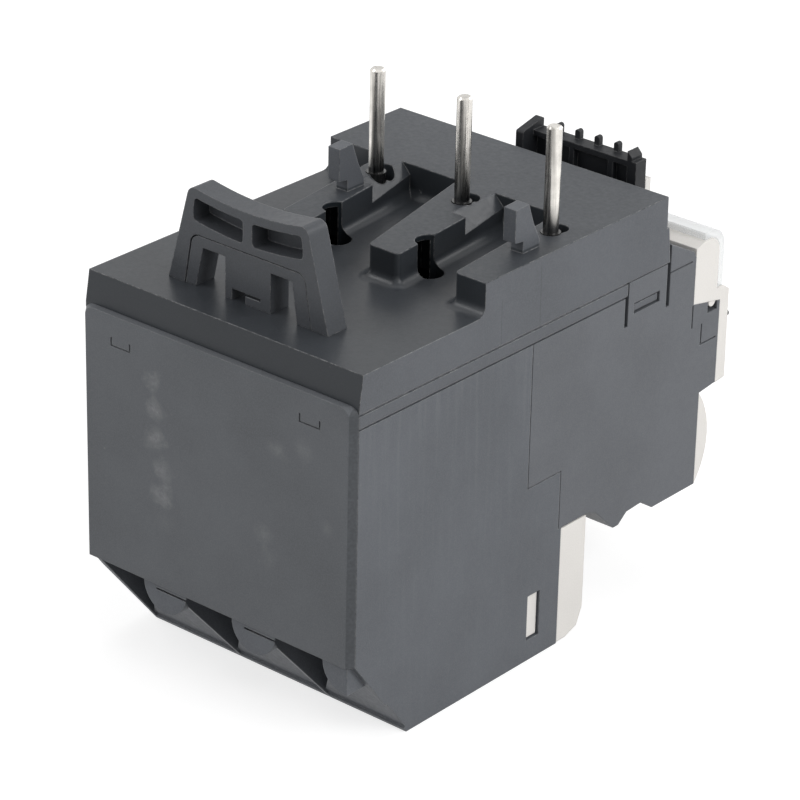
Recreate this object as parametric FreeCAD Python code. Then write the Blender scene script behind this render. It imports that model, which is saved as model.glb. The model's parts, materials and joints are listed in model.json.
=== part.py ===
import FreeCAD, Part
import math
import os

Vec = FreeCAD.Vector

# Thermal overload relay that plugs into a contactor above it. Millimetres.
# X is to the right seen from the front, Z is up with the pins on top. Depths are counted
# forward from the rear panel, and at() turns a depth into the Y of the part's frame.

# Outer sizes
side_margin = 1.05
panel_thickness = 1.0
panel_edge = 0.85
panel_bottom = 13.3
panel_lap = 3.0
sole_rear = 10.94
seam_depth = 33.7
seam_to_nose = 7.3
step_back = 0.6
step_height = 25.25
nose_height = 17.0
cap_bottom = 45.3
flange_height = 2.0
flange_front = 52.9
flange_to_cap_foot = 8.8
cap_height = 7.1
deck_rise = 4.4
cap_front_lean = 0.95
cap_lean = 0.65
cap_draft = 0.1

# Walls and clearances
wall = 1.6
roof = 1.8
running = 0.05
slack = 0.3
seat = 0.1
beyond = 1.0

# Three phases: the cells below and the pins above have the same pitch
phases = (1, 0, -1)
phase_pitch = 14.3
middle_cell = -0.75
middle_pin = -4.1
pin_depth = 41.6
pin_radius = 1.0
pin_shoulder = 0.3
pin_reach = 14.2
cell_half = 5.6
cell_rear = 6.0
cell_to_seam = 2.7
cell_floor = 16.0

# Fingers and channels of the raised deck, as X at the rear and at the channel end
finger_rear = 24.1
middle_finger_extra = 0.7
finger_length = 22.5
left_finger = ((10.6, 13.3), (6.0, 8.7))
middle_finger = ((-4.3, 0.7), (-9.1, -6.9))
right_finger_x = (-17.5, -15.4)
deck_fillet = 1.4
bore_radius = 1.9
finger_to_bore = 5.3
facet_length = 8.6

# Hook that hangs in the contactor
hook_centre = 0.7
hook_rear = 6.8
hook_thickness = 3.4
hook_half_foot = 13.1
hook_half_top = 9.6
hook_height = 13.0
hook_sag = 0.8
hook_bar = 1.5
hook_skin = 0.5

# Front module
module_front = 73.4
aux_bottom = 12.4
aux_height = 13.9
fascia_height = 13.9
module_wall = 1.6
module_floor = 1.2
roof_drop = 2.5
roof_fall = 2.7
roof_round = 0.6
snap_slot = 0.7
snap_length = 4.1
nib_gap = 0.3
seam_gap = 0.12

# Light grey front and clear cover
saddle_drop = 0.7
ledge_drop = 1.2
block_height = 7.65
block_depth = 5.1
block_stand = 0.8
block_round = 2.0
fascia_stand = 2.05
fascia_slope = 0.85
cover_gap = 0.15
cover_thickness = 1.0
cover_reach = 3.2
peg_stand = 0.75
peg_inset = 0.8
peg_drop = 4.9
peg_radius = 0.45
hinge_inset = 1.1
hinge_stand = 0.7
hinge_radius = 0.55
hinge_pin = 0.4
ear_drop = 1.8
ear_thickness = 0.8

# Buttons and dial
button_x = 12.0
button_drop = 6.2
button_radius = 3.0
button_stand = 0.45
rod_radius = 1.5
collar_radius = 2.5
collar_thickness = 0.8
spring_radius = 2.05
spring_wire = 0.3
spring_length = 5.1
spring_turns = 4
dial_x = 8.0
dial_rise = 2.6
dial_radius = 2.8
dial_depth = 2.8
shaft_radius = 1.5

# Trip mechanism
strip_thickness = 1.0
strip_rear = 12.0
strip_width = 7.0
slider_drop = 3.9
slider_height = 1.8
slider_bar = 1.6
lever_x = -0.9
lever_setback = 14.7
lever_rise = 7.4
lever_height = 1.5
lever_pin = 1.0
carriage_half = 3.0
carriage_length = 13.0
heater_turns = 6
heater_pitch = 2.4

# Terminals
bar_thickness = 1.2
clamp_setback = 8.0
riser_setback = 9.0
cage_half = 4.4
cage_floor = 4.0
cage_height = 7.5
cage_web = 1.4
wire_gap = 5.0
screw_radius = 1.6
screw_head = 3.1
aux_margin = 1.7
aux_shares = (1.5, 0.5, -0.5, -1.5)
aux_screw_rise = 7.6
aux_bar_setback = 10.9
aux_bar_thickness = 1.0
aux_shank = 1.5
aux_head = 2.9

# Sloping rear edge: its fins, pockets and bosses
bay_pitch = 15.05
middle_fin = -4.05
fin_lean = 5.6
fin_width = 0.5
fin_end = 0.955
bay_recess = 0.35
pocket_depth = 5.0
boss_radius = 3.63
boss_shift = 2.2
boss_face = 0.5
boss_drop = 0.4
corner_inset = 2.0

# Pin recesses, locating tabs, hook tongue and shroud
pin_recess = 3.0
pin_recess_radius = 1.5
tab_width = 1.9
tongue_gap = 0.15
shroud_round = 3.4

# Lines and windows of the front module
line_width = 0.25
line_depth = 0.3
flag_half = 1.3
flag_shift = 3.3
test_x = 3.8
test_half = 1.1

# Terminal comb
comb_left = 4.4
comb_right = -13.75
comb_rise = 10.4
comb_depth = 2.2
comb_wall = 1.2
comb_recess = 0.9
tooth_rise = 1.3
tooth_pitch = 3.2
tooth_width = 0.8
tooth_depth = 0.8
tooth_count = 4
end_slope = 1.0

# Contact bridges and saddle washers
bridge_height = 2.4
bridge_thickness = 0.6
contact_radius = 1.1
contact_height = 0.4
washer_half = 3.0

# Places worked out from the sizes above
body_width = len(phases) * phase_pitch + 2 * side_margin
half_width = body_width / 2
inner_half = half_width - wall
shell_front = seam_depth + seam_to_nose
clamp_bar_depth = shell_front - clamp_setback
step_depth = shell_front - step_back
panel_top = cap_bottom + panel_lap
low_deck = cap_bottom + cap_height
high_deck = low_deck + deck_rise
flange_top = cap_bottom + flange_height
cap_front_foot = flange_front + flange_to_cap_foot
cap_front_top = cap_front_foot - cap_front_lean
pin_top = high_deck + pin_reach
hook_top = low_deck + hook_height
cell_front = seam_depth - cell_to_seam
middle_finger_rear = finger_rear - middle_finger_extra
channel_end = finger_rear + finger_length
bore_depth = finger_rear + finger_to_bore
facet_rear = channel_end - facet_length

aux_front = module_front - 3.5
inner_front = module_front - module_wall
block_front = module_front - block_stand
block_rear = block_front - block_depth
fascia_front = module_front + fascia_stand
fascia_shoulder = fascia_front - 1.45
overall_depth = fascia_front + peg_stand
peg_front = overall_depth
rear_y = overall_depth / 2
fascia_bottom = aux_bottom + aux_height
fascia_top = fascia_bottom + fascia_height
saddle_height = fascia_top - saddle_drop
ledge_height = saddle_height - ledge_drop
module_inner_top = ledge_height - beyond
cavity_floor = fascia_bottom + module_floor
cavity_rear = seam_depth + wall
cavity_roof_front = block_rear - 1.5
roof_front = block_rear - 0.5
roof_rear_height = low_deck - roof_drop
roof_front_height = roof_rear_height - roof_fall
snap_floor = cap_bottom - snap_length
block_top = fascia_top + block_height
plate_top = roof_front_height + 7.4
cover_rear = block_front - cover_reach
cover_bottom = fascia_top + 0.1
hinge_x = half_width - hinge_inset
hinge_depth = block_front + hinge_stand
nub_depth = module_front - 1.65
ear_floor = block_top - ear_drop
ear_top = ear_floor + ear_thickness
peg_x = peg_inset - half_width
peg_height = fascia_top - peg_drop

button_height = fascia_top - button_drop
button_front = fascia_front + button_stand
collar_rear = inner_front - 1.5
spring_rear = collar_rear - spring_length
guide_rear = cavity_roof_front - 5.0
rod_rear = guide_rear + 0.8
plunger_front = fascia_front - 1.45
dial_height = fascia_top + dial_rise

strip_front = strip_rear + strip_width
strip_foot = cell_floor + bar_thickness + seat
slider_floor = cap_bottom - slider_drop
strip_top = slider_floor + slider_height - 0.2
lever_depth = cavity_rear + lever_setback
lever_floor = cavity_floor + lever_rise
carriage_rear = lever_depth + 3.0
carriage_front = carriage_rear + carriage_length
flag_rear = inner_front - 1.4
flag_front = inner_front - 0.5
aux_screw_height = aux_bottom + aux_screw_rise
aux_bar_depth = aux_front - aux_bar_setback

pin_xs = [middle_pin + k * phase_pitch for k in phases]
cell_xs = [middle_cell + k * phase_pitch for k in phases]
barrier_xs = [middle_cell + k * phase_pitch / 2 for k in (1, -1)]
room_left = cell_xs[2] - cell_half
room_right = cell_xs[0] + cell_half
clamp_roof = cell_floor - 2.0
aux_pitch = (body_width - 2 * aux_margin) / len(aux_shares)
aux_xs = [aux_pitch * share for share in aux_shares]


def at(depth):
    return rear_y - depth


def block(x0, x1, d0, d1, z0, z1):
    return Part.makeBox(x1 - x0, d1 - d0, z1 - z0, Vec(x0, at(d1), z0))


def prism(points, along):
    wire = Part.makePolygon(points + [points[0]])
    return Part.Face(wire).extrude(along)


def side_prism(outline, x0, x1):
    return prism([Vec(x0, at(d), z) for d, z in outline], Vec(x1 - x0, 0, 0))


def plan_prism(outline, z0, z1):
    return prism([Vec(x, at(d), z0) for x, d in outline], Vec(0, 0, z1 - z0))


def front_prism(outline, d0, d1):
    return prism([Vec(x, at(d0), z) for x, z in outline], Vec(0, d0 - d1, 0))


def rod_deep(x, z, radius, d0, d1):
    return Part.makeCylinder(radius, d1 - d0, Vec(x, at(d1), z), Vec(0, 1, 0))


def rod_up(x, depth, radius, z0, z1):
    return Part.makeCylinder(radius, z1 - z0, Vec(x, at(depth), z0))


def rod_across(depth, z, radius, x0, x1):
    return Part.makeCylinder(radius, x1 - x0, Vec(x0, at(depth), z), Vec(1, 0, 0))


def fused(shapes):
    result = shapes[0]
    for shape in shapes[1:]:
        result = result.fuse(shape)
    return result.removeSplitter()


def cut_all(shape, tools):
    for tool in tools:
        shape = shape.cut(tool)
    return shape


def rounded(shape, radius, wanted):
    edges = [edge for edge in shape.Edges if wanted(edge)]
    return shape.makeFillet(radius, edges) if edges else shape


def bevelled_face(shape, size, depth):
    edges = [edge for edge in shape.Edges if edge.BoundBox.YMax < at(depth) + 0.01]
    return shape.makeChamfer(size, edges)


def upright(edge):
    box = edge.BoundBox
    return box.ZLength > 0.5 and box.XLength < 0.01 and box.YLength < 0.01


def lies_at_height(edge, z):
    box = edge.BoundBox
    return abs(box.ZMin - z) < 0.01 and abs(box.ZMax - z) < 0.01


def both_sides(make):
    return [make(-1), make(1)]


def side_block(side, inner, outer, d0, d1, z0, z1):
    low, high = sorted((side * inner, side * outer))
    return block(low, high, d0, d1, z0, z1)


# Rear shell


def chamfer_point(x, share):
    depth = panel_thickness + share * (sole_rear - panel_thickness)
    return Vec(x, at(depth), panel_bottom * (1 - share))


def chamfer_frame(x, share):
    slope = Vec(0, at(sole_rear) - at(panel_thickness), -panel_bottom).normalize()
    outward = slope.cross(Vec(1, 0, 0)).normalize()
    if outward.z > 0:
        outward = outward * -1
    return chamfer_point(x, share), slope, outward


fin_tops = [middle_fin + k * bay_pitch for k in (2, 1, 0, -1)]


def fin_x(top_x, share):
    return top_x - fin_lean * share


def corner_x(share):
    return half_width - corner_inset * share


def bay_edge(top_x, share):
    return min(fin_x(top_x, share), corner_x(share)) - fin_width


def chamfer_prism(corners, outside, inside):
    _, _, outward = chamfer_frame(0, 0)
    base = [chamfer_point(x, share) + outward * outside for x, share in corners]
    return prism(base, outward * -(outside + inside))


def bay_recess_cut():
    last = fin_tops[-1]
    first = fin_tops[0]
    corners = [(last, -0.02), (fin_x(last, fin_end), fin_end),
               (bay_edge(first, fin_end), fin_end), (bay_edge(first, 0), -0.02)]
    return chamfer_prism(corners, 1.0, bay_recess)


def bay_fin(top_x):
    corners = [(top_x, 0), (top_x - fin_width, 0), (fin_x(top_x, fin_end) - fin_width, fin_end),
               (fin_x(top_x, fin_end), fin_end)]
    return chamfer_prism(corners, 0, 1.5)


def bay_pocket(top_x):
    corners = [(bay_edge(top_x, 0.02), 0.02), (top_x - 12.5, 0.02), (top_x - 8.5, 0.62),
               (bay_edge(top_x, 0.91), 0.91)]
    return chamfer_prism(corners, 1.0, pocket_depth)


def bay_boss(top_x):
    front = cell_rear - 1
    boss = rod_deep(top_x - boss_shift, panel_bottom - boss_drop, boss_radius, boss_face, front)
    return boss.common(block(-half_width + panel_edge, half_width, boss_face, front, 0, panel_bottom))


def shell_outline():
    return [
        (panel_thickness, panel_bottom), (sole_rear, 0), (shell_front, 0),
        (shell_front, nose_height), (step_depth, nose_height), (step_depth, step_height),
        (seam_depth, step_height), (seam_depth, cap_bottom), (panel_thickness, cap_bottom),
    ]


clamp_rear = clamp_bar_depth - 7.0
slot_window = (shell_front - 6.4, shell_front - 3.9, 3.0, 9.5)
slider_notch = (strip_rear - 4.0, strip_front + 4.2)


def shell_cells():
    cuts = [
        block(room_left, room_right, cell_rear, cell_front, cell_floor, cap_bottom + 1),
        block(room_left, room_right, clamp_rear, shell_front + 1, wall, clamp_roof),
        block(-6.0, 0.6, cell_front - 1, seam_depth + 1, slider_floor - 0.4, cap_bottom + 1),
    ]
    riser_d = clamp_bar_depth - riser_setback
    entry = clamp_bar_depth - wire_gap
    half = cage_half - 0.9
    for x in cell_xs:
        cuts.append(block(x - 3, x + 3, riser_d - 1.2, riser_d + bar_thickness + 1.2, 10, 17))
        cuts.append(block(x - half, x + half, entry, clamp_bar_depth - seat, -1, wall + 1))
    for x in barrier_xs:
        cuts.append(phase_barrier(x))
    return cuts


def phase_barrier(x):
    half = phase_pitch / 2 - cell_half
    outline = [(cell_rear, cell_floor), (clamp_rear, cell_floor), (clamp_rear, wall),
               (shell_front, wall), (shell_front, clamp_roof), (cell_front, clamp_roof),
               (cell_front, cap_bottom), (cell_rear, cap_bottom)]
    plate = side_prism(outline, x - half, x + half)
    rear, front = slider_notch
    return plate.cut(block(x - half, x + half, rear, front, slider_floor - seat, cap_bottom))


def rear_housing():
    shell = side_prism(shell_outline(), -half_width, half_width)
    corner = prism(
        [Vec(half_width + 0.01, at(0), panel_bottom),
         Vec(half_width - corner_inset, at(sole_rear), -0.01),
         Vec(half_width + 0.01, at(sole_rear + 3.5), -0.01)],
        Vec(3, 1, -3))
    shell = cut_all(shell, [corner, bay_recess_cut()])
    fins = [bay_fin(x) for x in fin_tops[1:3]]
    bosses = [bay_boss(x) for x in fin_tops[1:]]
    shell = fused([shell] + fins + bosses)
    shell = cut_all(shell, [bay_pocket(x) for x in fin_tops[:3]])
    shell = cut_all(shell, shell_cells())
    d0, d1, z0, z1 = slot_window
    return shell.cut(block(-half_width - 1, room_left + 1, d0, d1, z0, z1))


def rear_cover():
    outline = [
        (half_width, panel_thickness), (half_width - panel_edge, 0),
        (-half_width + panel_edge, 0), (-half_width, panel_thickness),
    ]
    plate = plan_prism(outline, panel_bottom, panel_top)
    plate = rounded(plate, 1.2, lambda e: e.BoundBox.YLength > 0.9 and e.BoundBox.ZLength < 0.01
                    and e.BoundBox.ZMax > panel_top - 0.1)
    for x0, x1 in ((13.9, 17.3), (-17.3, -13.9)):
        top = panel_top - 3.0
        low = top - 1.2
        line = 0.22
        plate = cut_all(plate, [
            block(x0, x1, -1, 0.25, low, low + line),
            block(x0, x0 + line, -1, 0.25, low, top),
            block(x1 - line, x1, -1, 0.25, low, top),
        ])
    return plate


# Cap with the deck, the fingers and the channels


def cap_outline():
    return [
        (panel_thickness, cap_bottom), (panel_thickness, panel_top),
        (panel_thickness + cap_lean, low_deck), (cap_front_top + 0.45, low_deck),
        (cap_front_foot, flange_top + 0.15), (flange_front, flange_top + 0.15),
        (flange_front, cap_bottom),
    ]


def raised_plan():
    (l0, l1), (m0, m1) = left_finger
    (n0, n1), (q0, q1) = middle_finger
    r0, r1 = right_finger_x
    return [
        (half_width, cap_front_top), (half_width, channel_end),
        (l1, channel_end), (l0, finger_rear), (m0, finger_rear), (m1, channel_end),
        (n1, channel_end), (n0, middle_finger_rear), (q0, middle_finger_rear),
        (q1, channel_end), (r1, channel_end), (r0, finger_rear),
        (-half_width, finger_rear), (-half_width, cap_front_top),
    ]


def wall_x(finger_edge, depth):
    rear_x, front_x = finger_edge
    share = (depth - finger_rear) / (channel_end - finger_rear)
    return rear_x + share * (front_x - rear_x)


def channel_facet(finger_edge):
    edge_x = wall_x(finger_edge, facet_rear + 3)
    outline = [(edge_x + 2.1, high_deck + 0.01), (edge_x - 1.4, high_deck + 0.01),
               (edge_x - 1.4, high_deck - 3.6)]
    return front_prism(outline, facet_rear, channel_end)


def pin_hole(x):
    hole = rod_up(x, pin_depth, pin_radius + pin_shoulder + running, low_deck - roof - 1, high_deck + 1)
    recess = rod_up(x + 0.15, pin_depth + 1.5, pin_recess_radius, high_deck - pin_recess, high_deck + 1)
    return hole.fuse(recess)


tab_rear = bore_depth + 3.0
tab_top = high_deck + 6.3


def locating_tab(x):
    outline = [
        (tab_rear, tab_top - 0.1), (tab_rear + 2.5, tab_top), (tab_rear + 3.5, tab_top - 2.7),
        (tab_rear + 4.8, high_deck + 1.0), (tab_rear + 4.8, high_deck - 0.5),
        (tab_rear + 1.6, high_deck - 0.5), (tab_rear + 1.6, high_deck + 1.6),
        (tab_rear, high_deck + 1.8),
    ]
    return side_prism(outline, x - tab_width / 2, x + tab_width / 2)


eye = (flange_front + 1.5, cap_front_foot - 1.9, cap_bottom - 2.7, cap_bottom - 1.2)


def cap_snap(side):
    d0, d1, z0, z1 = eye
    outer = half_width - wall - seat
    arm = side_block(side, outer - 1.1, outer, d0 + nib_gap, d1 - nib_gap, z0 + nib_gap,
                     low_deck - roof)
    nib = side_block(side, outer - 0.2, half_width - 0.2, d0 + nib_gap, d1 - nib_gap, z0 + nib_gap,
                     z1 - nib_gap)
    return arm.fuse(nib)


def top_cap():
    cap = side_prism(cap_outline(), -half_width, half_width)
    lift = plan_prism(raised_plan(), low_deck - 1, high_deck)
    lift = rounded(lift, 0.7, lambda e: upright(e) and e.BoundBox.YMin > at(finger_rear + 0.1)
                   and abs(e.BoundBox.XMin) < half_width - 0.1)
    cap = fused([cap, lift])

    def foot(edge):
        box = edge.BoundBox
        inside = box.YMax < at(middle_finger_rear - 0.1) + 0.3 and box.YMin > at(channel_end + 0.1)
        return lies_at_height(edge, low_deck) and inside

    cap = rounded(cap, deck_fillet, foot)
    inner_top = low_deck - roof
    hollow = block(-inner_half, inner_half, panel_thickness + wall + 0.4, cap_front_top - 1.4,
                   cap_bottom - 1, inner_top)
    front_room = block(-inner_half, inner_half, channel_end + wall, cap_front_top - 1.4,
                       inner_top - 1, high_deck - roof)
    tools = [hollow, front_room, channel_facet(left_finger[1]), channel_facet(middle_finger[1])]
    for edge in (left_finger[1], middle_finger[1]):
        face = wall_x(edge, bore_depth)
        tools.append(rod_up(face - 0.5, bore_depth, bore_radius, inner_top - 1, high_deck + 1))
        tools.append(block(face + 0.7, face + 3.8, bore_depth - 1.8, bore_depth + 3.6,
                           inner_top - 1, high_deck - 0.8))
    tools += [pin_hole(x) for x in pin_xs]
    for side in (-1, 1):
        for z in (cap_bottom, flange_top - 0.1):
            tools.append(side_block(side, half_width - 0.25, half_width + 1,
                                    panel_thickness, flange_front - 0.01, z, z + 0.28))
        draft = [(side * half_width, flange_top), (side * (half_width - cap_draft), high_deck),
                 (side * (half_width + 1), high_deck + 0.1), (side * (half_width + 1), flange_top)]
        tools.append(front_prism(draft, -1, cap_front_foot + 1))
    cap = cut_all(cap, tools)
    tabs = [locating_tab(left_finger[1][0] + 3.4), locating_tab(right_finger_x[0] - 1.65)]
    return fused([cap] + tabs + both_sides(cap_snap))


# Contactor hook


def hook_x(share_up, side):
    half = hook_half_foot + (hook_half_top - hook_half_foot) * share_up
    return hook_centre + side * half


def sagging_band(half, z_side, sag, thickness):
    x0 = hook_centre - half
    x1 = hook_centre + half
    top = Part.Arc(Vec(x0, 0, z_side), Vec(hook_centre, 0, z_side - sag),
                   Vec(x1, 0, z_side)).toShape()
    low = Part.Arc(Vec(x1, 0, z_side - thickness), Vec(hook_centre, 0, z_side - sag - thickness),
                   Vec(x0, 0, z_side - thickness)).toShape()
    ends = [Part.makeLine(Vec(x1, 0, z_side), Vec(x1, 0, z_side - thickness)),
            Part.makeLine(Vec(x0, 0, z_side - thickness), Vec(x0, 0, z_side))]
    wire = Part.Wire([top, ends[0], low, ends[1]])
    band = Part.Face(wire).extrude(Vec(0, 40, 0))
    band.translate(Vec(0, at(hook_rear + 20), 0))
    return band


tongue_half_foot = hook_half_foot - 2.8
tongue_half_top = hook_half_top - 0.5
tongue_top = low_deck + 6.8


def tongue_solid(grow, foot, rear, front):
    half_foot = tongue_half_foot + grow
    half_top = tongue_half_top + grow
    top = tongue_top + grow
    outline = [(hook_centre - half_foot, foot), (hook_centre + half_foot, foot),
               (hook_centre + half_top, top), (hook_centre - half_top, top)]
    return rounded(front_prism(outline, rear, front), 1.3 + grow,
                   lambda e: e.BoundBox.YLength > 1 and e.BoundBox.ZMin > top - 0.1)


def contactor_hook():
    front = hook_rear + hook_thickness
    outline = [(hook_x(0, -1), low_deck), (hook_x(0, 1), low_deck),
               (hook_x(1, 1), hook_top), (hook_x(1, -1), hook_top)]
    plate = front_prism(outline, hook_rear, front)
    plate = rounded(plate, 1.3, lambda e: e.BoundBox.YLength > 1 and e.BoundBox.ZMin > hook_top - 0.5)
    arc = Part.Arc(Vec(hook_centre - hook_half_top + 0.9, 0, hook_top),
                   Vec(hook_centre, 0, hook_top - hook_sag),
                   Vec(hook_centre + hook_half_top - 0.9, 0, hook_top)).toShape()
    lid = Part.makeLine(Vec(hook_centre + hook_half_top - 0.9, 0, hook_top),
                        Vec(hook_centre - hook_half_top + 0.9, 0, hook_top))
    dish = Part.Face(Part.Wire([arc, lid])).extrude(Vec(0, 40, 0))
    dish.translate(Vec(0, at(hook_rear + 20), 0))
    window = sagging_band(hook_half_top - 0.7, hook_top - 1.2, hook_sag, 3.0)
    side_cut = front_prism([(hook_x(0.7, -1) + 1.3, hook_top - 6), (hook_x(0.7, 1) - 1.3, hook_top - 6),
                            (hook_x(1, 1) - 1.1, hook_top), (hook_x(1, -1) + 1.1, hook_top)],
                           hook_rear - 1, front + 1)
    bar = block(hook_centre - hook_bar / 2, hook_centre + hook_bar / 2, hook_rear - 1, front + 1,
                low_deck, hook_top)
    window = rounded(window.common(side_cut).cut(bar), 0.5, lambda e: e.BoundBox.YLength > 1)
    window = window.common(block(-half_width, half_width, hook_rear - 1, front - hook_skin,
                                 low_deck, hook_top))
    room = tongue_solid(tongue_gap, low_deck - 0.1, hook_rear - 1, front + 1)
    return cut_all(plate, [dish, window, room])


def hook_latch():
    front = hook_rear + hook_thickness
    tongue = tongue_solid(0, low_deck, hook_rear + 0.1, front)
    inner = 3.7
    left = front_prism([(hook_centre + inner, low_deck), (hook_centre + 8.6, low_deck),
                        (hook_centre + 7.4, low_deck + 5.4), (hook_centre + inner, low_deck + 5.4)],
                       hook_rear - 1, front + 1)
    right = front_prism([(hook_centre - inner, low_deck), (hook_centre - 8.0, low_deck),
                         (hook_centre - 7.2, low_deck + 5.4), (hook_centre - inner, low_deck + 5.4)],
                        hook_rear - 1, front + 1)
    notch = block(hook_centre + 0.4, hook_centre + 2.6, hook_rear - 1, front + 1, low_deck,
                  low_deck + 1.5)
    slit = block(hook_centre - 2.1, hook_centre + 0.5, hook_rear - 1, hook_rear + 0.8,
                 low_deck + 1.1, low_deck + 1.45)
    return cut_all(tongue, [left, right, notch, slit])


# Current path of one phase


def phase_pin(pin_x, cell_x):
    bar_floor = low_deck - roof - 2.0
    half = 1.6
    tail_d = strip_front + 6.0
    tail_z = slider_floor + slider_height + 0.8
    root = rod_up(pin_x, pin_depth, pin_radius + pin_shoulder, bar_floor, high_deck + seat)
    pin = rod_up(pin_x, pin_depth, pin_radius, bar_floor, pin_top)
    pin = pin.makeChamfer(0.25, [edge for edge in pin.Edges if lies_at_height(edge, pin_top)])
    route = [(pin_x - half, pin_depth + half), (pin_x + half, pin_depth + half),
             (pin_x + half, pin_depth - 7), (cell_x + half, pin_depth - 11),
             (cell_x + half, tail_d), (cell_x - half, tail_d),
             (cell_x - half, pin_depth - 11), (pin_x - half, pin_depth - 7)]
    bar = plan_prism(route, bar_floor - bar_thickness, bar_floor)
    tail = block(cell_x - half, cell_x + half, tail_d, tail_d + bar_thickness, tail_z, bar_floor)
    return fused([root, pin, bar, tail])


def bimetal(cell_x):
    half = strip_thickness / 2
    strip = block(cell_x - half, cell_x + half, strip_rear, strip_front, strip_foot, strip_top)
    return rounded(strip, 1.0, lambda e: e.BoundBox.XLength > 0.9 and e.BoundBox.ZMin > strip_top - 1)


def heater(cell_x):
    inner = strip_thickness / 2 + slack
    outer = inner + 0.8
    first = strip_foot + 3.0
    height = heater_pitch * 0.55
    pieces = []
    for turn in range(heater_turns):
        z = first + turn * heater_pitch
        ring = block(cell_x - outer, cell_x + outer, strip_rear - slack - 0.8,
                     strip_front + slack + 0.8, z, z + height)
        hole = block(cell_x - inner, cell_x + inner, strip_rear - slack,
                     strip_front + slack, z - 1, z + height + 1)
        pieces.append(ring.cut(hole))
        if turn + 1 < heater_turns:
            d0 = strip_front + slack if turn % 2 else strip_rear - slack - 0.8
            pieces.append(block(cell_x - 0.9, cell_x + 0.9, d0, d0 + 0.8, z + height / 2,
                                z + heater_pitch + height / 2))
    weld = block(cell_x + strip_thickness / 2, cell_x + inner + 0.2, strip_rear + 2.5,
                 strip_front - 2.5, first, first + height)
    pieces.append(weld)
    last = first + (heater_turns - 1) * heater_pitch
    pieces.append(block(cell_x - 1.2, cell_x + 1.2, strip_front + slack + 0.4, strip_front + 4.8,
                        last + 0.2, last + height - 0.2))
    return fused(pieces)


def load_bar(cell_x):
    riser = clamp_bar_depth - riser_setback
    half = cage_half - cage_web / 2 - 0.5
    top = cell_floor + bar_thickness
    front = clamp_bar_depth + bar_thickness
    foot = block(cell_x - 2.2, cell_x + 2.2, strip_rear, riser + bar_thickness, cell_floor, top)
    crossing = cage_floor + cage_height + 0.9
    post = block(cell_x - 2.2, cell_x + 2.2, riser, riser + bar_thickness, crossing, top)
    run = block(cell_x - 2.2, cell_x + 2.2, riser, front, crossing, crossing + bar_thickness)
    drop = block(cell_x - half, cell_x + half, clamp_bar_depth, front, cage_floor - 0.8,
                 crossing + bar_thickness)
    return fused([foot, post, run, drop])


def clamp_cage(cell_x):
    rear = clamp_bar_depth - wire_gap - cage_web
    front = clamp_bar_depth + bar_thickness + 3.8
    top = cage_floor + cage_height
    frame = block(cell_x - cage_half, cell_x + cage_half, rear, front, cage_floor, top)
    room = block(cell_x - cage_half + cage_web / 2, cell_x + cage_half - cage_web / 2,
                 rear + cage_web, front - cage_web * 1.3, cage_floor - 1, top + 1)
    thread = rod_deep(cell_x, cage_floor + cage_height / 2, screw_radius + seat, front - 3, front + 1)
    return cut_all(frame, [room, thread])


def cross_slot(x, z, radius, depth):
    bars = []
    for wide, high in ((radius * 1.2, 0.7), (0.7, radius * 1.2)):
        bars.append(block(x - wide / 2, x + wide / 2, depth - 0.9, depth + 1,
                          z - high / 2, z + high / 2))
    return bars


def power_screw(cell_x):
    z = cage_floor + cage_height / 2
    tip = clamp_bar_depth + bar_thickness + slack
    head_rear = shell_front + 0.2
    shank = rod_deep(cell_x, z, screw_radius, tip, head_rear + 0.5)
    head = rod_deep(cell_x, z, screw_head, head_rear, head_rear + 2.3)
    return cut_all(fused([shank, head]), cross_slot(cell_x, z, screw_head, head_rear + 2.3))


shroud_front = shell_front + 5.2


def power_shroud():
    z = cage_floor + cage_height / 2
    outline = [(shell_front, 0.2), (shroud_front - shroud_round, 0.2),
               (shroud_front - shroud_round * 0.3, shroud_round * 0.3), (shroud_front, shroud_round),
               (shroud_front, nose_height - 0.2), (shell_front, nose_height - 0.2)]
    shell = side_prism(outline, -half_width, half_width)
    tools = []
    for x in cell_xs:
        tools.append(rod_deep(x, z, screw_head + slack, shell_front - 1, shell_front + 2.8))
        tools.append(rod_deep(x, z, screw_head - 0.6, shell_front, shroud_front + 1))
    shell = cut_all(shell, tools)
    d0, d1, z0, z1 = slot_window
    arm_x = room_left
    arm = block(arm_x + 0.1, arm_x + 0.9, d0 + 0.2, shell_front + 0.5, z0 + 1.0, z1 - 1.0)
    nub = block(-half_width + 0.35, arm_x + 0.2, d0 + 0.2, d1 - 0.2, z0 + 0.2, z1 - 0.2)
    far_x = room_right
    far = block(far_x - 0.9, far_x - 0.1, d0 + 0.2, shell_front + 0.5, z0 + 1.0, z1 - 1.0)
    return fused([shell, arm, nub, far])


# Front module


def roof_z(depth):
    share = (depth - cap_front_foot) / (roof_front - cap_front_foot)
    return roof_rear_height + share * (roof_front_height - roof_rear_height)


def module_outline():
    arch = aux_bottom + 0.2
    return [
        (seam_depth + seam_gap, step_height + seam_gap), (seam_depth + seam_gap, cap_bottom),
        (flange_front, cap_bottom),
        (flange_front, flange_top), (cap_front_foot, flange_top),
        (cap_front_foot, roof_rear_height), (roof_front, roof_front_height),
        (block_rear, roof_front_height - 0.9), (block_rear, saddle_height),
        (module_front, ledge_height), (module_front, fascia_bottom),
        (aux_front, fascia_bottom - 0.4), (aux_front, aux_bottom), (aux_bar_depth + 1.6, aux_bottom),
        (aux_bar_depth - 0.7, arch + 1.5), (aux_bar_depth - 4.0, arch + 1.3),
        (aux_bar_depth - 5.7, arch), (aux_bar_depth - 6.8, arch),
        (shell_front + 7.2, nose_height - 0.6), (shell_front + 5.6, nose_height),
        (step_depth + seam_gap, nose_height), (step_depth + seam_gap, step_height + seam_gap),
    ]


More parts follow.
